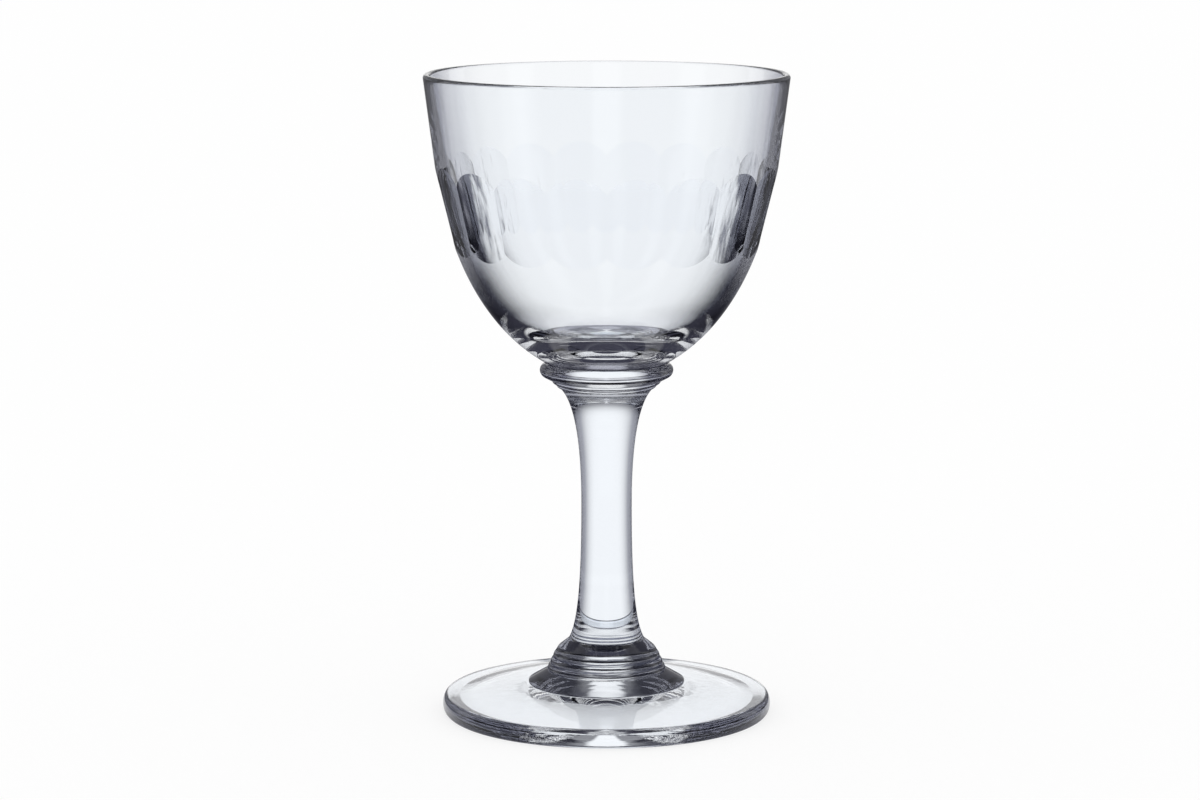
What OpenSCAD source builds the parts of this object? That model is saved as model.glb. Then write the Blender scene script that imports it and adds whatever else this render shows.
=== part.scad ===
// Cordial glass: hand-made clear stemware with a band of upright cuts around its bowl.
// The origin is the centre of the plane that the foot rests on, and +Z runs up the stem.
// Each piece is a gather of glass that ends in flat faces, where it is fused to the next.

/* [Bowl] */
// Diameter across the lip
rim_d = 62; // [57:0.5:67]
// Height of the bowl, from its seat on the collar to the lip
bowl_h = 49.3; // [45:0.05:54]
// Height of the shoulder above the seat, where the round part ends and the flare begins
shoulder_h = 34.5; // [30:0.05:38]
// Lean of the flared wall from upright, in degrees
flare = 7.4; // [4:0.1:11]
// Diameter of the seat, where the bowl is fused to the collar
seat_d = 20.4; // [18:0.2:24]
// Lean of the wall from upright where it leaves the seat, in degrees
seat_lean = 57; // [50:0.5:62]
// Wall at the lip
lip_wall = 1.3; // [1:0.05:1.8]
// Wall at the shoulder
shoulder_wall = 1.85; // [1.5:0.05:2.5]
// Solid glass on the axis, below the drink
floor_t = 3.75; // [2.85:0.05:4.5]
// Diameter of the well's flat floor
well_flat_d = 11.3; // [8:0.1:13]

/* [Cuts] */
// Number of upright cuts around the bowl
cut_count = 18; // [14:1:20]
// Bearing of the first cut from straight ahead, in degrees
first_cut = 10; // [0:0.5:20]
// Height of the cuts' arched tops above the seat
cut_top = 34.15; // [31:0.05:36]
// Height of the cuts' lowest points above the seat
cut_low = 19; // [16:0.05:21]
// Depth of a cut inside the straight line between its two ends
cut_bite = 0.2; // [0.15:0.01:0.3]
// Radius of the grinding wheel, which rounds both ends of a cut
wheel_r = 36; // [20:1:40]

/* [Collar] */
// Height of the collar, from the stem's end to the bowl's seat
collar_h = 4.3; // [4.1:0.05:5]
// How far the collar's rounded rim reaches out past the bowl's seat
collar_reach = 1.2; // [0.8:0.05:1.4]
// Lean of the collar's underside from upright, below its rim, in degrees
under_rim = 62; // [45:1:65]
// Number of fine rings below the collar's rim
collar_rings = 2; // [1:1:4]

/* [Stem] */
// Height of the stem between its two fused ends
stem_h = 43.7; // [36:0.1:52]
// Diameter at the waist, the stem's narrowest place
waist_d = 8.64; // [7.4:0.02:10]
// Height of the waist above the stem's lower end
waist_h = 23.5; // [18:0.5:28]
// Diameter at the stem's upper end, under the collar
stem_top_d = 15.8; // [13:0.2:17]
// Lean of the stem's side from upright at its upper end, in degrees
stem_top_lean = 45; // [32:1:52]
// Diameter at the stem's lower end, on the base knop
stem_low_d = 12.9; // [11:0.1:15]
// Lean of the stem's side from upright at its lower end, in degrees
stem_low_lean = 28; // [18:1:38]

/* [Base knop] */
// Height of the knop, from the foot to the stem's end
knop_h = 7.5; // [6.8:0.1:10]
// Diameter of the bell where it meets the skirt
knop_d = 20.4; // [18.5:0.1:23]
// Width of the sloping shoulder above the bell, beside the stem's end
shoulder_w = 1.5; // [1:0.05:2]
// Fall of that shoulder from level, in degrees
shoulder_fall = 39; // [25:1:45]
// Radius that rounds the shoulder into the bell
knop_round = 2.1; // [1.2:0.05:2.6]
// Number of rings down the bell
knop_rings = 3; // [2:1:5]
// Diameter of the skirt that the knop spreads on the foot
skirt_d = 26.8; // [24:0.2:32]
// Height of the skirt where it meets the bell
skirt_h = 2.1; // [1.4:0.1:2.8]
// Thickness of the skirt's outer edge
skirt_edge = 0.2; // [0.1:0.05:0.5]

/* [Foot] */
// Diameter of the foot
foot_d = 56.5; // [50:0.1:62]
// Height of the flat place in the middle of the foot, under the skirt
hub_h = 5.2; // [4.4:0.1:6.4]
// Thickness of the foot at its edge
edge_h = 3.3; // [2.4:0.1:4]
// How far the edge is rounded outwards
edge_round = 0.95; // [0.5:0.05:1.5]
// Width of the flat ring that the glass stands on
rest_w = 2.4; // [1.5:0.1:4]
// Rise of the hollow underside at the centre
dome_h = 2; // [1:0.1:3]

/* [Rings] */
// How far a tooled ring swells past the line that it follows
ring_swell = 0.13; // [0.06:0.01:0.2]
// How far the next gather overlaps the end of the stem
overlap = 0.1; // [0.05:0.05:0.3]

/* [Hidden] */

// Facets of a full turn, and steps along one curve, one ring, one end of a cut and a rounded rim
turn_fn = 128;
curve_steps = 20;
ring_steps = 6;
wheel_steps = 4;
rim_steps = 14;
// How much of the wheel's round is followed, as a share of what lies in the glass
wheel_past_share = 1.6;

// Pull of each curve's end on its middle, as a share of the curve's height
seat_pull_share = 0.06;
shoulder_pull_share = 0.79;
well_floor_pull_share = 0.35;
well_wall_pull_share = 0.73;
waist_pull_share = 0.55;
stem_top_pull_share = 0.165;
waist_down_pull_share = 0.72;
stem_low_pull_share = 0.1;

// Share of the collar's height that its fine rings take
rings_share = 0.302;
// Angle from level at which the knop's shoulder has turned into the bell
bell_start = 20;

// Radii
rim_r = rim_d / 2;
seat_r = seat_d / 2;
well_flat_r = well_flat_d / 2;
lip_r = lip_wall / 2;
waist_r = waist_d / 2;
stem_top_r = stem_top_d / 2;
stem_low_r = stem_low_d / 2;
knop_r = knop_d / 2;
skirt_r = skirt_d / 2;
foot_r = foot_d / 2;
edge_r = foot_r - edge_round;

// Height of each piece's lower face
knop_z = hub_h;
stem_z = knop_z + knop_h;
collar_z = stem_z + stem_h;
bowl_z = collar_z + collar_h;

// A direction that leans out from upright by a number of degrees
function lean(a) = [sin(a), cos(a)];
// A curve from one point to another that two more points pull on
function pulled(p, a, b, q, steps) =
    [for (i = [0 : steps]) let (t = i / steps, s = 1 - t)
        s * s * s * p + 3 * s * s * t * a + 3 * s * t * t * b + t * t * t * q];
// Points on an upright ellipse about a centre, at a list of angles
function round_points(centre, rx, rz, angles) =
    [for (a = angles) centre + [rx * cos(a), rz * sin(a)]];
// Tooled rings along a line from p to q
function ringed(p, q, count) =
    let (along = (q - p) / norm(q - p), out = [along[1], -along[0]], steps = count * ring_steps)
    [for (i = [0 : steps]) let (t = i / steps)
        p + (q - p) * t + out * ring_swell * abs(sin(180 * count * t))];
// All points of a list but its first, and a list turned end to end
function rest_of(points) = [for (i = [1 : len(points) - 1]) points[i]];
function reversed(points) = [for (i = [len(points) - 1 : -1 : 0]) points[i]];

// Lip: a full round between the outer and the inner wall
lip_centre = [rim_r - lip_r, bowl_h - lip_r];
lip_angles = concat([-flare], [for (a = [0 : 15 : 165]) a], [180 - flare]);
lip_points = round_points(lip_centre, lip_r, lip_r, lip_angles);
lip_out = lip_points[0];
lip_in = lip_points[len(lip_points) - 1];

// Bowl: outer wall from the seat to the shoulder, and the well inside it
shoulder = [lip_out[0] - (lip_out[1] - shoulder_h) * tan(flare), shoulder_h];
seat = [seat_r, 0];
outer_wall = pulled(
    seat, seat + seat_pull_share * shoulder_h * lean(seat_lean),
    shoulder - shoulder_pull_share * shoulder_h * lean(flare), shoulder, curve_steps);
well_top = shoulder - [shoulder_wall, 0];
well_floor = [well_flat_r, floor_t];
well_h = shoulder_h - floor_t;
well_flare = atan2(lip_in[0] - well_top[0], lip_in[1] - well_top[1]);
well = pulled(
    well_top, well_top - well_wall_pull_share * well_h * lean(well_flare),
    well_floor + [well_floor_pull_share * well_h, 0], well_floor, curve_steps);

// Cuts: the wheel meets the outer wall at a cut's two ends and runs straight between them
wall_table = [for (p = concat(outer_wall, [lip_out])) [p[1], p[0]]];
cut_end_top = [lookup(cut_top, wall_table), cut_top];
cut_end_low = [lookup(cut_low, wall_table), cut_low];
cut_run = (cut_end_top - cut_end_low) / norm(cut_end_top - cut_end_low);
cut_out = [cut_run[1], -cut_run[0]];
wheel_run_in = sqrt(pow(wheel_r, 2) - pow(wheel_r - cut_bite, 2));
wheel_top = cut_end_top - wheel_run_in * cut_run + (wheel_r - cut_bite) * cut_out;
wheel_low = cut_end_low + wheel_run_in * cut_run + (wheel_r - cut_bite) * cut_out;
wheel_w = 2 * shoulder[0] * tan(180 / cut_count);
// The wheel's round is followed a little past the point where it leaves the glass
wheel_turn = acos(1 - cut_bite / wheel_r) * wheel_past_share;
wheel_angles = [for (i = [0 : wheel_steps]) wheel_turn * i / wheel_steps];
function wheel_point(centre, a) = centre + wheel_r * (sin(a) * cut_run - cos(a) * cut_out);
wheel_top_points = [for (a = wheel_angles) wheel_point(wheel_top, a)];
wheel_low_points = [for (a = wheel_angles) wheel_point(wheel_low, -a)];
wheel_path = concat(
    wheel_top_points, [wheel_top_points[wheel_steps] + wheel_r * cut_out],
    [wheel_low_points[wheel_steps] + wheel_r * cut_out], reversed(wheel_low_points));

// Collar: fine rings up from the stem, then the rim's round, which ends at the bowl's seat
collar_rim_centre = [seat_r, collar_h - collar_reach];
rim_turn = 90 + under_rim;
rim_angles = [for (i = [0 : rim_steps]) rim_turn * i / rim_steps - under_rim];
collar_rim = round_points(collar_rim_centre, collar_reach, collar_reach, rim_angles);
collar_neck = [stem_top_r + overlap, 0];
rings_h = collar_h * rings_share;
rings_top = [collar_rim[0][0] - (collar_rim[0][1] - rings_h) * tan(under_rim), rings_h];

// Stem: one curve up from the lower end to the waist, one from the waist to the collar
stem_low = [stem_low_r, 0];
waist = [waist_r, waist_h];
stem_top = [stem_top_r, stem_h];
lower_stem = pulled(
    stem_low, stem_low + stem_low_pull_share * waist_h * lean(-stem_low_lean),
    waist - [0, waist_down_pull_share * waist_h], waist, curve_steps);
upper_stem = pulled(
    waist, waist + [0, waist_pull_share * (stem_h - waist_h)],
    stem_top - stem_top_pull_share * (stem_h - waist_h) * lean(stem_top_lean), stem_top, curve_steps);

// Base knop: the skirt, the ringed bell, and the shoulder that slopes up to the stem
knop_top = [stem_low_r + overlap, knop_h];
slope_end = knop_top + [shoulder_w, -shoulder_w * tan(shoulder_fall)];
slope_turn = 90 - shoulder_fall;
knop_centre = slope_end - knop_round * [cos(slope_turn), sin(slope_turn)];
knop_angles = [for (i = [0 : ring_steps]) bell_start + (slope_turn - bell_start) * i / ring_steps];
knop_shoulder = round_points(knop_centre, knop_round, knop_round, knop_angles);
bell = ringed([knop_r, skirt_h], knop_shoulder[0], knop_rings);

// Foot: the rounded edge, and the shallow round hollow underneath
edge_angles = [for (i = [0 : rim_steps]) 180 * i / rim_steps - 90];
edge = round_points([edge_r, edge_h / 2], edge_round, edge_h / 2, edge_angles);
rest_r = edge_r - rest_w;
dome_r = (pow(rest_r, 2) + pow(dome_h, 2)) / (2 * dome_h);
dome_turn = asin(rest_r / dome_r);
dome = [for (i = [0 : curve_steps]) let (a = dome_turn * i / curve_steps)
    [dome_r * sin(a), dome_h - dome_r * (1 - cos(a))]];

// Turns an outline about the axis
module turned(points) {
    rotate_extrude($fn = turn_fn) polygon(points);
}

// The wheel's whole path through the wall for one cut, as wide as the wheel
module cut() {
    rotate([90, 0, 0]) linear_extrude(height = wheel_w, center = true) polygon(wheel_path);
}

module bowl() {
    color([0.90, 0.95, 0.98, 0.45]) translate([0, 0, bowl_z]) difference() {
        turned(concat([[0, 0]], outer_wall, lip_points, well, [[0, floor_t]]));
        for (i = [0 : cut_count - 1]) rotate([0, 0, first_cut - 90 + i * 360 / cut_count]) cut();
    }
}

module collar() {
    color([0.72, 0.73, 0.79, 0.60]) translate([0, 0, collar_z])
        turned(concat(
            [[0, 0]], ringed(collar_neck, rings_top, collar_rings),
            collar_rim, [[0, collar_h]]));
}

module stem() {
    color([0.86, 0.89, 0.94, 0.55]) translate([0, 0, stem_z])
        turned(concat([[0, 0]], lower_stem, rest_of(upper_stem), [[0, stem_h]]));
}

module base_knop() {
    color([0.66, 0.67, 0.74, 0.60]) translate([0, 0, knop_z])
        turned(concat(
            [[0, 0], [skirt_r, 0], [skirt_r, skirt_edge]], bell,
            rest_of(knop_shoulder), [knop_top, [0, knop_h]]));
}

module foot() {
    color([0.88, 0.91, 0.95, 0.50])
        turned(concat(dome, edge, [[skirt_r, hub_h], [0, hub_h]]));
}

bowl();
collar();
stem();
base_knop();
foot();
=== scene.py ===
# %% [markdown]
# A small hand-made cordial glass, in clear glass
#
# The real glass is made of five gathers of hot glass, fused end to end: the bowl with its band of
# upright cuts, a collar under it, a solid drawn stem, a ringed knop, and a round foot. The CAD
# model has the same five pieces. Here each of them is made again with a surface fine enough for
# clear glass, in which every facet would show. Then the light is built that lets it be seen.

# %% Load the frame
import bpy
import math
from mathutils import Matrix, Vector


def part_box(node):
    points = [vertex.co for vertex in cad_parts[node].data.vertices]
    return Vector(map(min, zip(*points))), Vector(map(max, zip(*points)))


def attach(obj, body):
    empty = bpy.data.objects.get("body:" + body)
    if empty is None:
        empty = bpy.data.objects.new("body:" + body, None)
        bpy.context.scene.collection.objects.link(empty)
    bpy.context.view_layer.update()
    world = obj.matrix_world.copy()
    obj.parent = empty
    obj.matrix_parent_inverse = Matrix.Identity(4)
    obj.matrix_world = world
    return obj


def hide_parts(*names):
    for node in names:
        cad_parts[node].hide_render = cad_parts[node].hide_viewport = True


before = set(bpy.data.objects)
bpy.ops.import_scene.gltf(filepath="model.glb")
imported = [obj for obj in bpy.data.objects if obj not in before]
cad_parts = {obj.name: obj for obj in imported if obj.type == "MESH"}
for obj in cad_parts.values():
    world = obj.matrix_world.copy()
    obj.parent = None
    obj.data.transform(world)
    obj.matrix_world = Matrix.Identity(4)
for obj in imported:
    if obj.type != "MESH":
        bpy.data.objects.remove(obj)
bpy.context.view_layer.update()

# %% [markdown]
# Sizes. Every level comes from the CAD pieces' own boxes, so the glass stays as tall and as wide as
# they are. What a box can't tell, such as the wall, is a named value in millimetres. Blender works
# in metres, so one constant turns millimetres into metres where a mesh is made.

# %% Levels and radii
MM = 0.001


def top_and_radius(node):
    """The highest level and the greatest radius of a CAD piece, in mm."""
    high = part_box(node)[1]
    return high.z / MM, high.x / MM


knop_z, foot_r = top_and_radius("foot")
stem_z, skirt_r = top_and_radius("base_knop")
collar_z = top_and_radius("stem")[0]
bowl_z, collar_r = top_and_radius("collar")
lip_z, lip_r = top_and_radius("bowl")
print("levels:", [round(v, 2) for v in (knop_z, stem_z, collar_z, bowl_z, lip_z)])
radii = (lip_r, collar_r, skirt_r, foot_r)
print("radii of lip, collar, skirt and foot:", [round(v, 2) for v in radii])

# %% [markdown]
# Outlines. A turned piece is drawn as half of its section: a chain of points, each a radius and a
# height. Small functions give the chains: a direction that leans out from upright, a step in a
# direction, the points of a straight line, a curve that two outer points pull on, and a round. The
# CAD source draws its outlines in the same way, with fewer points.

# %% Helpers for outlines
def lean(degrees):
    """A direction that leans out from upright."""
    a = math.radians(degrees)
    return math.sin(a), math.cos(a)


def step(p, direction, length):
    """The point that lies this far from p in a direction."""
    return p[0] + direction[0] * length, p[1] + direction[1] * length


def between(p, q, count):
    """The points that part the line from p to q into equal lengths, without its ends."""
    return [
        (p[0] + (q[0] - p[0]) * i / count, p[1] + (q[1] - p[1]) * i / count)
        for i in range(1, count)]


def pulled(p, a, b, q, count):
    """A curve from p to q that the points a and b pull on."""
    chain = []
    for i in range(count + 1):
        t = i / count
        s = 1 - t
        pulls = (s * s * s, 3 * s * s * t, 3 * s * t * t, t * t * t)
        chain.append(tuple(sum(k * v[n] for k, v in zip(pulls, (p, a, b, q))) for n in (0, 1)))
    return chain


def round_off(centre, rx, rz, start, end, count):
    """Points on an upright ellipse, from one angle to another."""
    angles = [math.radians(start + (end - start) * i / count) for i in range(count + 1)]
    return [(centre[0] + rx * math.cos(a), centre[1] + rz * math.sin(a)) for a in angles]


# %% [markdown]
# The turning itself is done as on a lathe, with Blender's own modelling tools. A plane is merged to
# one point on the outline, the point is extruded along the outline, and Spin turns the chain about
# the upright axis. Then doubled points are merged, and the normals are made to face outwards,
# because a glass surface that faces inwards bends the light the wrong way.

# %% Helpers for turned pieces
TURNS = 256  # steps round the axis, so that no facet shows in the refraction
MERGE = 0.00001  # metres: closer points are one point


def deselect():
    bpy.ops.object.select_all(action="DESELECT")


def chain_of(name, outline):
    """Draws an outline in the XZ plane, point by point, and leaves it in edit mode."""
    deselect()
    r, z = outline[0]
    bpy.ops.mesh.primitive_plane_add(size=MM, location=(r * MM, 0, z * MM))
    piece = bpy.context.object
    piece.name = piece.data.name = name
    bpy.ops.object.mode_set(mode="EDIT")
    bpy.ops.mesh.select_all(action="SELECT")
    bpy.ops.mesh.merge(type="CENTER")
    for next_r, next_z in outline[1:]:
        move = ((next_r - r) * MM, 0, (next_z - z) * MM)
        bpy.ops.mesh.extrude_vertices_move(TRANSFORM_OT_translate={"value": move})
        r, z = next_r, next_z
    return piece


def settle(piece):
    """Leaves edit mode and puts the piece's place into its mesh."""
    bpy.ops.object.mode_set(mode="OBJECT")
    bpy.ops.object.transform_apply(location=True, rotation=True, scale=True)
    return piece


def turned(name, outline, turns=TURNS):
    """Turns an outline into a closed piece. It starts and ends on the axis, or closes on itself."""
    piece = chain_of(name, outline)
    bpy.ops.mesh.select_all(action="SELECT")
    bpy.ops.mesh.spin(steps=turns, angle=2 * math.pi, center=(0, 0, 0), axis=(0, 0, 1))
    bpy.ops.mesh.select_all(action="SELECT")
    bpy.ops.mesh.remove_doubles(threshold=MERGE)
    bpy.ops.mesh.normals_make_consistent(inside=False)
    return settle(piece)


# %% [markdown]
# Foot. On the real glass it is a disc that was pressed while hot: almost flat on top, with a
# rounded edge, and hollowed underneath so that it stands on a ring. How deep the hollow is decides
# what the top shows. Under a shallow one, light that comes in from the front is mirrored up into
# the stem, and the foot looks dark. Two millimetres let it pass down to the table, so the top is as
# light as in the photo.

# %% Foot
edge_h, edge_round = 3.3, 0.95  # the rounded edge: its height, and how far it bulges
rest_w, dome_h = 2.4, 2.0  # the ring that touches the table, and the depth of the hollow inside it
edge_steps, top_steps = 32, 24
edge_r = foot_r - edge_round
rest_r = edge_r - rest_w
dome_r = (rest_r**2 + dome_h**2) / (2 * dome_h)
dome_turn = math.degrees(math.asin(rest_r / dome_r))
foot_outline = round_off((0, dome_h - dome_r), dome_r, dome_r, 90, 90 - dome_turn, edge_steps)
foot_outline += round_off((edge_r, edge_h / 2), edge_round, edge_h / 2, -90, 90, edge_steps)
foot_outline += between((edge_r, edge_h), (skirt_r, knop_z), top_steps)
foot_outline += [(skirt_r, knop_z), (0, knop_z)]
foot = turned("glass_foot", foot_outline)
print("foot:", len(foot.data.polygons), "faces")

# %% [markdown]
# Knop. The foot's gather ends in a bell with three tooled rings, which spreads into a thin skirt on
# the foot. Its shoulder slopes up to the stem. The rings are the marks of the tool that shaped it
# while it was spun, so they are small swellings with a fine groove between them.

# %% Knop
ring_swell, ring_steps = 0.13, 10  # how far a ring stands out, and the steps along one ring
neck_low, slope_gap = 6.5, 0.05  # radius of the stem's lower end, and the slope's start outside it
knop_d, knop_rings = 20.4, 3
shoulder_w, shoulder_fall = 1.5, 39  # the slope's width in mm, and its fall in degrees
knop_round, bell_start, round_steps = 2.1, 20, 12
skirt_h, skirt_edge = 2.1, 0.2


def ringed(p, q, count):
    """Tooled rings along a line from p to q."""
    length = math.dist(p, q)
    outwards = ((q[1] - p[1]) / length, (p[0] - q[0]) / length)
    chain = []
    for i in range(count * ring_steps + 1):
        t = i / (count * ring_steps)
        swell = ring_swell * abs(math.sin(math.pi * count * t))
        on_line = (p[0] + (q[0] - p[0]) * t, p[1] + (q[1] - p[1]) * t)
        chain.append(step(on_line, outwards, swell))
    return chain


slope_h = shoulder_w * math.tan(math.radians(shoulder_fall))
slope_end = (neck_low + slope_gap + shoulder_w, stem_z - slope_h)
knop_centre = step(slope_end, lean(shoulder_fall), -knop_round)
knop_shoulder = round_off(
    knop_centre, knop_round, knop_round, bell_start, 90 - shoulder_fall, round_steps)
knop_outline = [(0, knop_z), (skirt_r, knop_z), (skirt_r, knop_z + skirt_edge)]
knop_outline += ringed((knop_d / 2, knop_z + skirt_h), knop_shoulder[0], knop_rings)
knop_outline += knop_shoulder[1:] + [(neck_low, stem_z), (0, stem_z)]
knop = turned("glass_knop", knop_outline)
print("knop:", len(knop.data.polygons), "faces")

# %% [markdown]
# Stem. It was drawn out of the hot gather, so it is one smooth solid of glass, narrowest a little
# above its middle, where the pull was strongest, and spreading at both ends.

# %% Stem
waist_r, waist_h, neck_high, stem_steps = 4.32, 23.5, 7.95, 64
low_lean, top_lean = 28, 45  # degrees from upright, at the two ends
low_pull, waist_down_pull = 0.1, 0.72  # shares of the height below the waist
waist_up_pull, top_pull = 0.55, 0.165  # shares of the height above it
waist = (waist_r, stem_z + waist_h)
low_h, high_h = waist[1] - stem_z, collar_z - waist[1]
stem_foot, stem_head = (neck_low, stem_z), (neck_high, collar_z)
lower = pulled(
    stem_foot, step(stem_foot, lean(-low_lean), low_pull * low_h),
    step(waist, (0, -1), waist_down_pull * low_h), waist, stem_steps)
upper = pulled(
    waist, step(waist, (0, 1), waist_up_pull * high_h),
    step(stem_head, lean(top_lean), -top_pull * high_h), stem_head, stem_steps)
stem = turned("glass_stem", [(0, stem_z)] + lower + upper[1:] + [(0, collar_z)])
print("stem:", len(stem.data.polygons), "faces")

# %% [markdown]
# Collar. Glassmakers call this disc a merese: a small button of glass that joins bowl and stem. Its
# rim is rounded, and two fine tooled rings run below it.

# %% Collar
collar_reach, under_rim = 1.2, 62  # the rim's round in mm, and how far it goes on below, in degrees
collar_rings, rings_share, rim_steps = 2, 0.302, 28
collar_h = bowl_z - collar_z
seat_r = collar_r - collar_reach
rim_centre = (seat_r, bowl_z - collar_reach)
collar_rim = round_off(rim_centre, collar_reach, collar_reach, -under_rim, 90, rim_steps)
rings_z = collar_z + rings_share * collar_h
rim_low_r, rim_low_z = collar_rim[0]
rings_r = rim_low_r - (rim_low_z - rings_z) * math.tan(math.radians(under_rim))
collar_outline = [(0, collar_z)]
collar_outline += ringed((neck_high, collar_z), (rings_r, rings_z), collar_rings)
collar_outline += collar_rim + [(0, bowl_z)]
collar = turned("glass_collar", collar_outline)
print("collar:", len(collar.data.polygons), "faces")

# %% [markdown]
# Bowl. It was blown, so its wall is thin and smooth: a full round below, a straight flare above,
# and a lip melted round in the fire. The drink's well is rounder than the outside, which leaves the
# bottom thick.

# %% Bowl before it is cut
flare, lip_wall, shoulder_wall = 7.4, 1.3, 1.85
shoulder_h, seat_lean = 34.5, 57
floor_t, flat_r = 3.75, 5.65  # glass under the drink, and the radius of the well's flat floor
seat_pull, shoulder_pull = 0.06, 0.79  # shares of the shoulder's height
well_wall_pull, well_floor_pull = 0.73, 0.35  # shares of the well's height
curve_steps, wall_steps = 72, 14
lip_round = lip_wall / 2
lip_centre = (lip_r - lip_round, lip_z - lip_round)
lip = round_off(lip_centre, lip_round, lip_round, -flare, 180 - flare, rim_steps)
lip_out, lip_in = lip[0], lip[-1]
shoulder_z = bowl_z + shoulder_h
shoulder = (lip_out[0] - (lip_out[1] - shoulder_z) * math.tan(math.radians(flare)), shoulder_z)
seat = (seat_r, bowl_z)
outer_wall = pulled(
    seat, step(seat, lean(seat_lean), seat_pull * shoulder_h),
    step(shoulder, lean(flare), -shoulder_pull * shoulder_h), shoulder, curve_steps)
well_top = (shoulder[0] - shoulder_wall, shoulder_z)
well_floor = (flat_r, bowl_z + floor_t)
well_h = shoulder_h - floor_t
well_lean = math.degrees(math.atan2(lip_in[0] - well_top[0], lip_in[1] - well_top[1]))
well = pulled(
    well_top, step(well_top, lean(well_lean), -well_wall_pull * well_h),
    step(well_floor, (1, 0), well_floor_pull * well_h), well_floor, curve_steps)
bowl_outline = [(0, bowl_z)] + outer_wall + between(shoulder, lip_out, wall_steps) + lip
bowl_outline += between(lip_in, well_top, wall_steps) + well + [(0, bowl_z + floor_t)]
bowl = turned("glass_bowl", bowl_outline)
print("bowl before it is cut:", len(bowl.data.polygons), "faces")

# %% [markdown]
# Cuts. The eighteen upright cuts were ground on a wheel and polished. Side by side round the bowl,
# they make a ring with eighteen flat sides, so one outline turned in only eighteen steps has
# exactly the shape of all of them together, and one Boolean takes it from the bowl. The outline
# runs straight between the two ends of a cut, and there it lifts out of the glass as round as the
# wheel.

# %% Outline of a cut
cut_count, first_cut = 18, 10  # the first cut's bearing in degrees, counted from the front
cut_top, cut_low = 34.15, 19  # mm above the bowl's seat
cut_bite, wheel_r = 0.2, 36
wheel_past_share = 1.9  # how far the wheel's round is followed: 1 ends where it leaves the glass
arc_steps, run_steps = 28, 20


def wall_at(height):
    """The point of the outer wall at a height above the bowl's seat."""
    z = bowl_z + height
    for p, q in zip(outer_wall, outer_wall[1:]):
        if p[1] <= z <= q[1]:
            t = (z - p[1]) / (q[1] - p[1])
            return p[0] + (q[0] - p[0]) * t, z
    raise ValueError("no wall at that height")


end_low, end_top = wall_at(cut_low), wall_at(cut_top)
run_len = math.dist(end_low, end_top)
run = ((end_top[0] - end_low[0]) / run_len, (end_top[1] - end_low[1]) / run_len)
out = (run[1], -run[0])
run_in = math.sqrt(wheel_r**2 - (wheel_r - cut_bite) ** 2)
wheel_low = step(step(end_low, run, run_in), out, wheel_r - cut_bite)
wheel_top = step(step(end_top, run, -run_in), out, wheel_r - cut_bite)
wheel_turn = math.acos(1 - cut_bite / wheel_r) * wheel_past_share


def wheel_arc(centre, start, end):
    """The wheel's round, from one angle to another, in radians from its deepest point."""
    arc = []
    for i in range(arc_steps + 1):
        a = start + (end - start) * i / arc_steps
        arc.append(step(step(centre, run, wheel_r * math.sin(a)), out, -wheel_r * math.cos(a)))
    return arc


arc_low = wheel_arc(wheel_low, -wheel_turn, 0)
arc_top = wheel_arc(wheel_top, 0, wheel_turn)
cut_outline = arc_low + between(arc_low[-1], arc_top[0], run_steps) + arc_top
cut_outline += [step(arc_top[-1], out, wheel_r), step(arc_low[0], out, wheel_r), arc_low[0]]
print("a cut:", round(run_len, 2), "mm long, its outline has", len(cut_outline), "points")

# %% [markdown]
# Spin puts the corners of the ring on the outline, and its flat sides lie nearer to the axis. So
# the outline is widened first, by as much as brings the middle of each side to the right depth. The
# finished ring is turned until a cut stands where the photo shows one. With no window,
# transform.rotate turns the other way, so its angle has a minus sign.

# %% Ring of cuts
widen = 1 / math.cos(math.pi / cut_count)
cutter = turned("wheel_ring", [(r * widen, z) for r, z in cut_outline], turns=cut_count)
ring_turn = first_cut - 90 + 180 / cut_count
bpy.ops.object.mode_set(mode="EDIT")
bpy.ops.mesh.select_all(action="SELECT")
bpy.ops.transform.rotate(
    value=-math.radians(ring_turn), orient_axis="Z", center_override=(0, 0, 0))
bpy.ops.object.mode_set(mode="OBJECT")
print("ring of cuts:", len(cutter.data.polygons), "faces")

# %% [markdown]
# Now the ring of cuts is taken from the bowl. A Boolean modifier with the exact solver does it in
# one go, and it is applied, so that the bowl keeps a mesh of its own and the ring can be deleted.
# Eighteen separate cutters would do the same work eighteen times.

# %% Cut the bowl
deselect()
bowl.select_set(True)
bpy.context.view_layer.objects.active = bowl
cut = bowl.modifiers.new("cuts", "BOOLEAN")
cut.operation, cut.solver, cut.object = "DIFFERENCE", "EXACT", cutter
bpy.ops.object.modifier_apply(modifier=cut.name)
bpy.data.objects.remove(cutter)
print("bowl after it is cut:", len(bowl.data.polygons), "faces")

# %% [markdown]
# Smoothing. The surface is shaded smooth, except over edges that turn by more than a few degrees:
# the edges of the cuts, the grooves between the rings and the flat joint faces.

# %% Shade the pieces
smooth_under = 9
for piece in (bowl, collar, stem, knop, foot):
    deselect()
    piece.select_set(True)
    bpy.context.view_layer.objects.active = piece
    bpy.ops.object.shade_smooth_by_angle(angle=math.radians(smooth_under))
print("smooth, except over edges of more than", smooth_under, "degrees")

# %% [markdown]
# Helpers for materials. Colours are written as sRGB hex values, as a painter's chart would give
# them. Blender mixes light in linear values, so one function converts them. A second one adds a
# node to a material, sets its properties, and fills its inputs with values or with other nodes.

# %% Helpers for materials
def srgb(code):
    """A colour written as sRGB hex, in the linear values that Blender mixes."""
    parts = [int(code[i:i + 2], 16) / 255 for i in (1, 3, 5)]
    linear = [c / 12.92 if c <= 0.04045 else ((c + 0.055) / 1.055) ** 2.4 for c in parts]
    return (*linear, 1.0)


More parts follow.
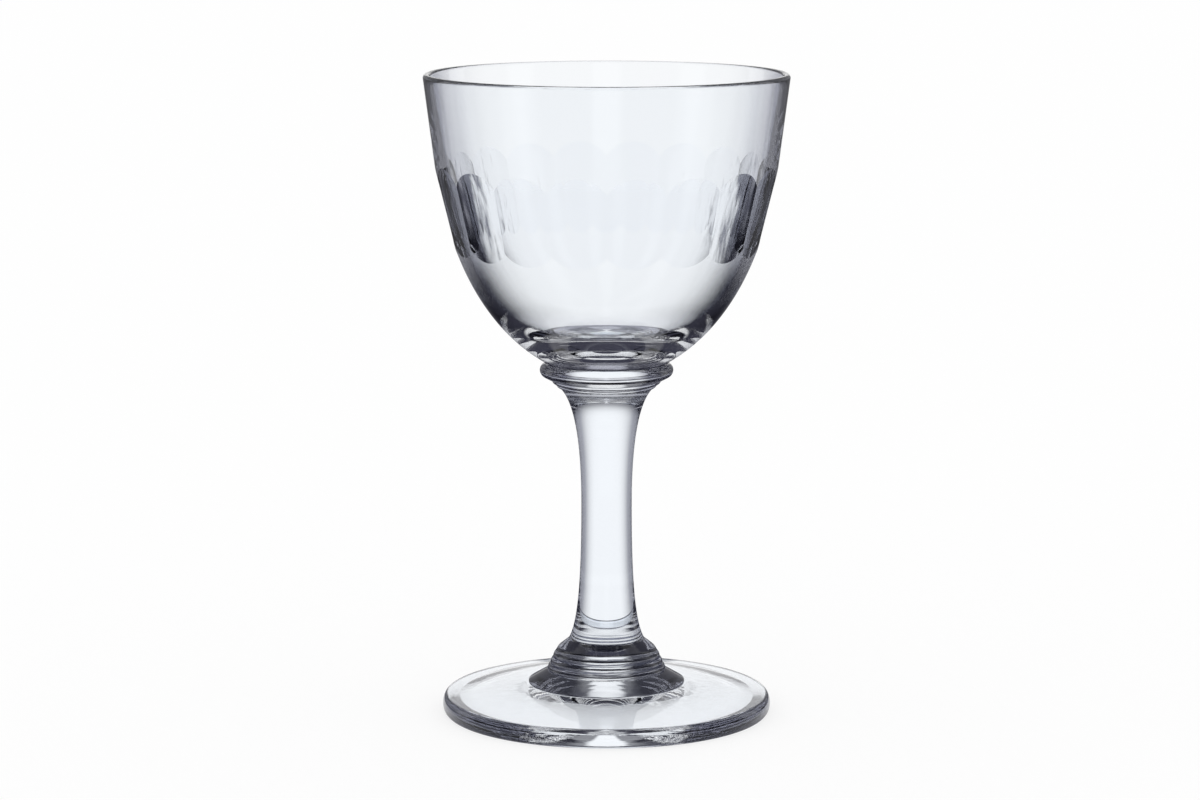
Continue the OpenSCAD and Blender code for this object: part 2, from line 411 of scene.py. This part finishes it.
def add(tree, kind, inputs=None, **settings):
    """Adds a node. An input takes a value, an output, or a node for its first output."""
    node = tree.nodes.new(kind)
    for name, value in settings.items():
        setattr(node, name, value)
    for key, value in (inputs or {}).items():
        if isinstance(value, bpy.types.Node):
            value = value.outputs[0]
        if isinstance(value, bpy.types.NodeSocket):
            tree.links.new(value, node.inputs[key])
        else:
            node.inputs[key].default_value = value
    return node


# %% [markdown]
# Marks of the making. Each way of shaping glass leaves its own faint marks, drawn as a bump: waves,
# streaks or rings. A grain is given by its size in millimetres along x, y and z, rings are given by
# their spacing, and the depth of either is in micrometres.

# %% Marks of the making
MICRO = 0.000001
wobble_grain, wobble = (3, 3, 3), 4.0  # how coarse and how strong the rings' unevenness is


def grain(tree, size):
    """Faint unevenness with a grain of this size in mm along x, y and z."""
    place = add(tree, "ShaderNodeTexCoord").outputs["Object"]
    scaled = add(tree, "ShaderNodeVectorMath", {0: place, 1: [1 / (v * MM) for v in size]},
        operation="MULTIPLY")
    return add(tree, "ShaderNodeTexNoise", {"Vector": scaled, "Scale": 1.0, "Detail": 2.0})


def ripples(tree, spacing):
    """Fine rings round the axis, the marks of a turning tool, with this spacing in mm."""
    place = add(tree, "ShaderNodeTexCoord").outputs["Object"]
    level = add(tree, "ShaderNodeVectorMath", {0: place, 1: (1, 1, 0)}, operation="MULTIPLY")
    away = add(tree, "ShaderNodeVectorMath", {0: level}, operation="LENGTH").outputs["Value"]
    uneven = grain(tree, wobble_grain)
    turn = add(tree, "ShaderNodeMath", {0: away, 1: 2 * math.pi / (spacing * MM)},
        operation="MULTIPLY")
    turn = add(tree, "ShaderNodeMath", {0: uneven, 1: wobble, 2: turn}, operation="MULTIPLY_ADD")
    return add(tree, "ShaderNodeMath", {0: turn}, operation="SINE")


# %% [markdown]
# Clear glass. All five gathers are the same lead crystal, nearly colourless. What differs is how
# each was shaped. The edge of solid glass looks darker than its middle, and here that darkening is
# painted shade: a front colour changes into an edge colour where the surface turns away from the
# eye. One grey all over would either darken the middle or lose the edge.
#
# The painted shade on the thick turned parts is darkest to their left and right and clear in front,
# whatever their rings do. So there the turn away from the eye is measured from a direction that
# points outwards from the axis and a little up, and the marks break up the border of the painted
# shade, as uneven glass does. The painted shade on the sides of the bowl changes with the height,
# darkest where the thick glass under the drink is seen and light where the wall above it is thin.

# %% Helpers for clear glass
CLEAR = "#F6FAFF"
BENDS = 1.52  # index of refraction
MIRRORS = (0.4, 0.4, 0.4, 1)  # what the surface mirrors is dimmed, as by dark panels out of view
TIP_UP = (0, 0, 0.3)


def outwards_and_up(tree):
    """The direction away from the axis, tipped up a little."""
    place = add(tree, "ShaderNodeTexCoord").outputs["Object"]
    level = add(tree, "ShaderNodeVectorMath", {0: place, 1: (1, 1, 0)}, operation="MULTIPLY")
    level = add(tree, "ShaderNodeVectorMath", {0: level}, operation="NORMALIZE")
    tipped = add(tree, "ShaderNodeVectorMath", {0: level, 1: TIP_UP}, operation="ADD")
    return add(tree, "ShaderNodeVectorMath", {0: tipped}, operation="NORMALIZE").outputs[0]


def by_height(tree, base, table):
    """A colour that changes with the height in mm above a base level."""
    place = add(tree, "ShaderNodeTexCoord").outputs["Object"]
    height = add(tree, "ShaderNodeSeparateXYZ", {0: place}).outputs[2]
    top = table[-1][0]
    part = add(tree, "ShaderNodeMapRange", {0: height, 1: base * MM, 2: (base + top) * MM})
    ramp = add(tree, "ShaderNodeValToRGB", {0: part})
    stops = ramp.color_ramp.elements
    ramp.color_ramp.interpolation = "EASE"
    for level, _ in table[1:-1]:
        stops.new(level / top)
    for stop, (_, colour) in zip(stops, table):
        stop.color = srgb(colour)
    return ramp


def crystal(name, edge, turn, marks, depth, front=CLEAR, streaks=0.0):
    """Clear glass whose front colour changes to a painted edge shade as it turns away."""
    m = bpy.data.materials.new(name)
    m.use_nodes = True
    t = m.node_tree
    glass = t.nodes["Principled BSDF"]
    for key, value in (
            ("Specular Tint", MIRRORS), ("Roughness", 0.0), ("IOR", BENDS),
            ("Transmission Weight", 1.0)):
        glass.inputs[key].default_value = value
    marks = grain(t, marks) if isinstance(marks, tuple) else ripples(t, marks)
    facing = add(t, "ShaderNodeLayerWeight", {"Blend": 0.5}).outputs["Facing"]
    if streaks:
        t.links.new(outwards_and_up(t), facing.node.inputs["Normal"])
        uneven = add(t, "ShaderNodeMath", {0: marks, 1: 0.5}, operation="SUBTRACT")
        facing = add(t, "ShaderNodeMath", {0: uneven, 1: streaks, 2: facing},
            operation="MULTIPLY_ADD")
    share = add(t, "ShaderNodeMapRange", {0: facing, 1: turn[0], 2: turn[1]},
        interpolation_type="SMOOTHSTEP")
    edge = srgb(edge) if isinstance(edge, str) else by_height(t, bowl_z, edge)
    # The edge colour mixed in here is painted shade, not a colour of the glass
    tint = add(t, "ShaderNodeMix", {0: share, 6: srgb(front), 7: edge}, data_type="RGBA")
    bump = add(t, "ShaderNodeBump", {"Height": marks, "Strength": 1.0, "Distance": depth * MICRO})
    t.links.new(tint.outputs[2], glass.inputs["Base Color"])
    t.links.new(bump.outputs[0], glass.inputs["Normal"])
    return m


# %% [markdown]
# Kinds of glass. One glass is used eight times, each time as it was shaped, each with its own
# painted shade at the edge. The turn says where the painted edge shade starts and where it is full,
# from 0, straight in front, to 1, right at the edge.

# %% Kinds of glass
# Blown and fire-polished: a thin wall, clear in front, with slow soft waves. Its sides get a
# painted
# shade that changes with the height: light at the very bottom, darkest 8 to 13 mm above the seat,
# where the thick glass under the drink lies, and a light grey from 22 mm up
bowl_side_shade = ((0, "#F0F1F6"), (4, "#E0E2EA"), (8, "#24262F"), (13, "#24262F"), (22, "#A9ABB8"))
blown = crystal(
    "blown lead crystal, fire-polished", edge=bowl_side_shade, turn=(0.25, 0.8),
    marks=(6, 6, 9), depth=4, front="#FAFCFE")
# Cut on a wheel and polished: painted shade beside the outline, clear in front, with upright
# polishing marks
cut_glass = crystal(
    "cut and polished lead crystal", edge="#50525E", turn=(0.25, 0.42),
    marks=(1.6, 1.6, 20), depth=9, front="#F5F8FC", streaks=0.5)
# Drawn out while hot: a clear middle between two sides of soft grey painted shade, with fine lines
# along the pull
drawn = crystal(
    "drawn lead crystal", edge="#70727E", turn=(0.09, 0.5), marks=(1.4, 1.4, 25), depth=3)
# Tooled while it was spun: the darkest painted shade, with level marks, and only its middle is
# clear
tooled = crystal(
    "tooled lead crystal", edge="#565866", turn=(0.02, 0.14),
    marks=(7, 7, 0.5), depth=14, streaks=0.08)
# The collar's thick edge, tooled in the same way but thinner, with a lighter grey painted shade
merese = crystal(
    "tooled lead crystal, thick edge", edge="#7A7C8C", turn=(0.07, 0.24),
    marks=(7, 7, 0.5), depth=12, streaks=0.1)
# The floor of the well, ringed by the tool: the rings are about 0.2 mm apart on the real glass, and
# they are drawn 1 mm apart so that they show. Where it turns away from the eye, it takes a dark
# painted shade
ringed_floor = crystal(
    "blown lead crystal, ringed by the tool", edge="#5E606E", turn=(0.5, 0.8), marks=1.0, depth=14)
# The foot's rounded edge: dark painted shade at the left and right, light in front
rolled = crystal(
    "pressed lead crystal, rounded edge", edge="#2E303E", turn=(0.07, 0.13),
    marks=(3, 3, 0.5), depth=14, streaks=0.2)
# Pressed: clear and light, with a faint painted shade only at the very edge, and the press's slight
# waviness
pressed = crystal(
    "pressed lead crystal", edge="#D8DADF", turn=(0.95, 1.0), marks=(4, 4, 4), depth=8)
print("kinds of glass:", [m.name for m in bpy.data.materials if "crystal" in m.name])

# %% [markdown]
# Fused joints. Where two gathers are fused there is no surface left, so the joint faces get a
# material that lets all light through. Each piece stays closed, and the eye sees one glass.

# %% Fused joints
joint = bpy.data.materials.new("fused joint, no surface")
joint.use_nodes = True
joint.node_tree.nodes["Principled BSDF"].inputs["Alpha"].default_value = 0.0
joint_levels = (knop_z, stem_z, collar_z, bowl_z)
print("joints at", [round(z, 2) for z in joint_levels], "mm")

# %% [markdown]
# Which glass is where. The other faces get the glass that their place calls for, which is read from
# the face itself: the ground faces lie inside the line of the bowl's outer wall, the ringed ones on
# the floor of the well, and the rounded ones at the rim of the foot. Picking faces by hand would
# break when a size changes.

# %% Helpers for telling faces apart
LEVEL = 0.9999  # the upright part of a level face's normal
near_joint, inside_wall, off_table = 0.0005, 0.02, 0.1  # mm
floor_margin = 1  # mm round the well's flat floor that are ringed too
floor_normal, edge_normal = 0.7, 0.85  # a normal's upright part: more is floor, less is edge
wall_table = outer_wall + [lip_out]


def place_of(face):
    """A face's distance from the axis and its level, in mm."""
    x, y, z = (v / MM for v in face.center)
    return math.hypot(x, y), z


def at_joint(face):
    """Whether a face lies in one of the joints."""
    level = face.center.z / MM
    return abs(face.normal.z) > LEVEL and any(abs(level - z) < near_joint for z in joint_levels)


def ground(face):
    """Whether a face of the bowl was ground: it lies inside the line of the outer wall."""
    r, z = place_of(face)
    if face.normal.x * face.center.x + face.normal.y * face.center.y < 0:
        return False
    for p, q in zip(wall_table, wall_table[1:]):
        if p[1] <= z < q[1]:
            return r < p[0] + (q[0] - p[0]) * (z - p[1]) / (q[1] - p[1]) - inside_wall
    return False


def well_bottom(face):
    """Whether a face of the bowl is on the flat floor of its well."""
    r, z = place_of(face)
    low = z < bowl_z + floor_t + floor_margin
    return face.normal.z > floor_normal and low and r < flat_r + floor_margin


def rounded_edge(face):
    """Whether a face of the foot is on its rounded edge."""
    r, z = place_of(face)
    return r > foot_r - edge_round and face.normal.z < edge_normal and z > off_table


# %% [markdown]
# Each piece carries the same five materials, its own glass first, and each face points to one of
# them.

# %% Give each face its glass
own_glass = {bowl: blown, collar: merese, stem: drawn, knop: tooled, foot: pressed}
OWN, JOINT, CUT, RINGED, ROUNDED = range(5)
for piece, glass in own_glass.items():
    piece.data.materials.clear()
    for m in (glass, joint, cut_glass, ringed_floor, rolled):
        piece.data.materials.append(m)
    counts = [0] * len(piece.data.materials)
    for face in piece.data.polygons:
        if at_joint(face):
            face.material_index = JOINT
        elif piece == bowl and ground(face):
            face.material_index = CUT
        elif piece == bowl and well_bottom(face):
            face.material_index = RINGED
        elif piece == foot and rounded_edge(face):
            face.material_index = ROUNDED
        else:
            face.material_index = OWN
        counts[face.material_index] += 1
    print(piece.name, "faces of glass, joint, cut, ringed and rounded:", counts)

# %% [markdown]
# Each turned piece stands for the CAD piece of the same name and rides on the one rigid body,
# because nothing on a drinking glass moves.

# %% Ride and replace
stands_for = {bowl: "bowl", collar: "collar", stem: "stem", knop: "base_knop", foot: "foot"}
for piece, node in stands_for.items():
    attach(piece, "root")
    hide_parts(node)
    print(piece.name, "stands for", node)

# %% [markdown]
# Studio. Clear glass has no colour of its own: the eye sees only what it bends and mirrors. So a
# photographer lights the white paper behind the glass, which keeps its middle bright, and puts dark
# panels out of view, which draw its dark outlines. Lamps would only leave small white spots.
#
# Here the paper and the sky do both jobs. Light that reaches the eye directly, or bent through the
# glass, comes from a white studio. Light that the inside of the glass has mirrored comes from a
# dark room with six upright bright strips round it, which leaves fine light lines in the thick
# parts. The Light Path node counts the mirrorings, and a helper turns that count into a brightness.

# %% Helpers for the studio
DARK, WHITE = srgb("#3E3E4A"), srgb("#FFFFFF")
strip_half, strip_soft = 7, 6  # degrees: half of a strip's width, and its soft border
SIXTH = math.pi / 6  # radians: half of the way from one strip to the next


def strip(tree, vector):
    """1 in front of one of six bright strips round the glass, 0 between them."""
    part = add(tree, "ShaderNodeSeparateXYZ", {0: vector})
    bearing = add(tree, "ShaderNodeMath", {0: part.outputs[1], 1: part.outputs[0]},
        operation="ARCTAN2")
    shifted = add(tree, "ShaderNodeMath", {0: bearing, 1: SIXTH}, operation="ADD")
    aside = add(tree, "ShaderNodeMath", {0: shifted, 1: SIXTH}, operation="PINGPONG")
    start, end = math.radians(strip_half), math.radians(strip_half + strip_soft)
    return add(tree, "ShaderNodeMapRange", {0: aside, 1: start, 2: end, 3: 1.0, 4: 0.0},
        interpolation_type="SMOOTHSTEP")


def lit_share(tree, direct, once, some, often, many):
    """How bright the studio is to light that was mirrored 0, 1, 2 to 3, 4 to 6 and more times."""
    # The last row lets light that the paper has scattered come from a white studio
    path = add(tree, "ShaderNodeLightPath")
    share = direct
    for value, source, least in (
            (once, "Glossy Depth", 0.5), (some, "Glossy Depth", 1.5), (often, "Glossy Depth", 3.5),
            (many, "Glossy Depth", 6.5), (1.0, "Diffuse Depth", 0.5)):
        switch = add(tree, "ShaderNodeMath", {0: path.outputs[source], 1: least},
            operation="GREATER_THAN")
        share = add(tree, "ShaderNodeMix", {0: switch, 2: share, 3: value}, data_type="FLOAT")
    return share


print("bright strips:", 2 * strip_half, "degrees wide, one every 60 degrees")

# %% [markdown]
# Floor. The glass stands on white paper that runs back without a horizon. The paper is one plane of
# sixteen metres, so its end is lost in the white. It is mostly seen at its own colour, which keeps
# the background white, and a quarter of it is lit by the studio, which keeps the soft shadow under
# the foot. To light that the glass has mirrored once, it is bright in two places: under the middle
# of the glass, which lights the lower end of the stem, and in a ring about the foot's edge, which
# gives the light crescents at the bottom of the bowl. Far out, the six strips lie on it too. Light
# that was mirrored two or three times finds it bright only far out, and light that was mirrored
# more often finds all of it bright.

# %% Floor
floor_size = 16
own_white, stripe_least = 0.75, 0.15
# Each row has the distances in mm where a change starts and ends, and the brightness at each
ring_inside, ring_outside = (26, 30, 0.0, 1.0), (42, 50, 1.0, 0.0)
middle_spot, far_out = (14, 18, 1.0, 0.0), (150, 350, 0.0, 1.0)


def floor_paper():
    """White paper, matt and a little lit, whose brightness to mirrored light changes with place."""
    m = bpy.data.materials.new("white paper sweep")
    m.use_nodes = True
    t = m.node_tree
    matt = t.nodes["Principled BSDF"]
    for key, value in (("Base Color", WHITE), ("Roughness", 0.9), ("Specular IOR Level", 0.0)):
        matt.inputs[key].default_value = value
    place = add(t, "ShaderNodeTexCoord").outputs["Object"]
    away = add(t, "ShaderNodeVectorMath", {0: place}, operation="LENGTH").outputs["Value"]
    far, spot, inner, outer = (
        add(t, "ShaderNodeMapRange", {0: away, 1: start * MM, 2: end * MM, 3: first, 4: last},
            interpolation_type="SMOOTHSTEP")
        for start, end, first, last in (far_out, middle_spot, ring_inside, ring_outside))
    ring = add(t, "ShaderNodeMath", {0: inner, 1: outer}, operation="MULTIPLY")
    stripes = add(t, "ShaderNodeMath", {0: strip(t, place), 1: stripe_least}, operation="MAXIMUM")
    stripes = add(t, "ShaderNodeMath", {0: far, 1: stripes}, operation="MULTIPLY")
    once = add(t, "ShaderNodeMath", {0: ring, 1: spot}, operation="ADD")
    once = add(t, "ShaderNodeMath", {0: once, 1: stripes}, operation="ADD")
    lit = lit_share(t, 1.0, once, far, 1.0, 1.0)
    path = add(t, "ShaderNodeLightPath")
    seen = path.outputs["Is Camera Ray"]
    for ray in ("Is Glossy Ray", "Is Transmission Ray"):
        seen = add(t, "ShaderNodeMath", {0: seen, 1: path.outputs[ray]}, operation="MAXIMUM")
    seen = add(t, "ShaderNodeMath", {0: seen, 1: own_white}, operation="MULTIPLY")
    white = add(t, "ShaderNodeEmission", {"Color": WHITE, "Strength": 1.0})
    paper = add(t, "ShaderNodeMixShader", {0: seen, 1: matt, 2: white})
    gloom = add(t, "ShaderNodeEmission", {"Color": DARK, "Strength": 1.0})
    mix = add(t, "ShaderNodeMixShader", {0: lit, 1: gloom, 2: paper})
    t.links.new(mix.outputs[0], t.nodes["Material Output"].inputs["Surface"])
    return m


deselect()
bpy.ops.mesh.primitive_plane_add(size=floor_size, location=(0, 0, 0))
floor = bpy.context.object
floor.name = "floor"
floor.data.materials.append(floor_paper())
print("floor:", floor.data.materials[0].name)

# %% [markdown]
# World. The sky is white at the height of the glass and falls off to grey above, as under a lamp
# box that is lower than the ceiling. A sky this plain keeps colours as they are written. To
# mirrored light it is the dark room with the bright strips. Light that was mirrored once finds the
# strips with a dim grey between them, two or three times only their upper ends, four to six times
# none of them, and more often only their lower parts. The world's strength stays at one, where
# white is white, so nothing on the glass is burnt out.

# %% World
# Each row has the heights where a change starts and ends, from 0, level, to 1, overhead, and the
# brightness at each
sky_direct = (0.15, 0.5, 1.0, 0.4)
sky_between = (0.12, 0.2, 0.3, 0.25)  # between the strips, to light that was mirrored once
sky_high = (0.35, 0.5, 0.0, 1.0)  # the upper ends of the strips
world = bpy.data.worlds.new("studio")
bpy.context.scene.world = world
world.use_nodes = True
sky = world.node_tree
direction = add(sky, "ShaderNodeTexCoord").outputs["Generated"]
height = add(sky, "ShaderNodeSeparateXYZ", {0: direction}).outputs[2]
direct, gaps, high = (
    add(sky, "ShaderNodeMapRange", {0: height, 1: start, 2: end, 3: first, 4: last},
        interpolation_type="SMOOTHSTEP")
    for start, end, first, last in (sky_direct, sky_between, sky_high))
strips = strip(sky, direction)
once = add(sky, "ShaderNodeMath", {0: strips, 1: gaps}, operation="MAXIMUM")
some = add(sky, "ShaderNodeMath", {0: strips, 1: high}, operation="MULTIPLY")
many = add(sky, "ShaderNodeMath", {0: strips, 1: some}, operation="SUBTRACT")
lit = lit_share(sky, direct, once, some, 0.0, many)
mix = add(sky, "ShaderNodeMix", {0: lit, 6: DARK, 7: WHITE}, data_type="RGBA")
background = sky.nodes["Background"]
background.inputs["Strength"].default_value = 1.0
sky.links.new(mix.outputs[2], background.inputs["Color"])
print("world:", world.name, "with", len(sky.nodes), "nodes")

# %% [markdown]
# Camera. It stands where the photographer stood: about 65 cm away, a little above the glass, and
# looks 9 degrees down. These values come from fitting the ellipses of the lip and the foot, whose
# roundness tells the height of the eye, and whose difference tells its distance. The focal length
# is in pixels of the 1200 pixel wide frame, and the sensor's width turns it into millimetres.

# %% Camera
camera_back, camera_up, camera_side = 645.51, 157.012, -1.12
pitch, focal_px, frame_px, sensor_mm = 9.0464, 3827.6, 1200, 36
bpy.ops.object.camera_add(
    location=(camera_side * MM, -camera_back * MM, camera_up * MM),
    rotation=(math.radians(90 - pitch), 0, 0))
camera = bpy.context.object
camera.data.sensor_width = sensor_mm
camera.data.lens = focal_px / frame_px * sensor_mm
camera.data.clip_start, camera.data.clip_end = 0.01, 100
bpy.context.scene.camera = camera
print("camera:", [round(v, 4) for v in camera.location], "lens", round(camera.data.lens, 2), "mm")

# %% [markdown]
# Light paths. Light crosses many surfaces in a stemmed glass, and is mirrored again and again
# inside the stem, so Blender's usual twelve bounces would leave black spots. Thirty-two are enough.
# The Standard view shows each colour as it was written.

# %% Light paths and colour
crossings, mirrorings = 32, 16
scene = bpy.context.scene
scene.view_settings.view_transform = "Standard"
scene.cycles.max_bounces = crossings
scene.cycles.transmission_bounces = crossings
scene.cycles.transparent_max_bounces = crossings
scene.cycles.glossy_bounces = mirrorings
print("bounces:", scene.cycles.max_bounces, "view:", scene.view_settings.view_transform)
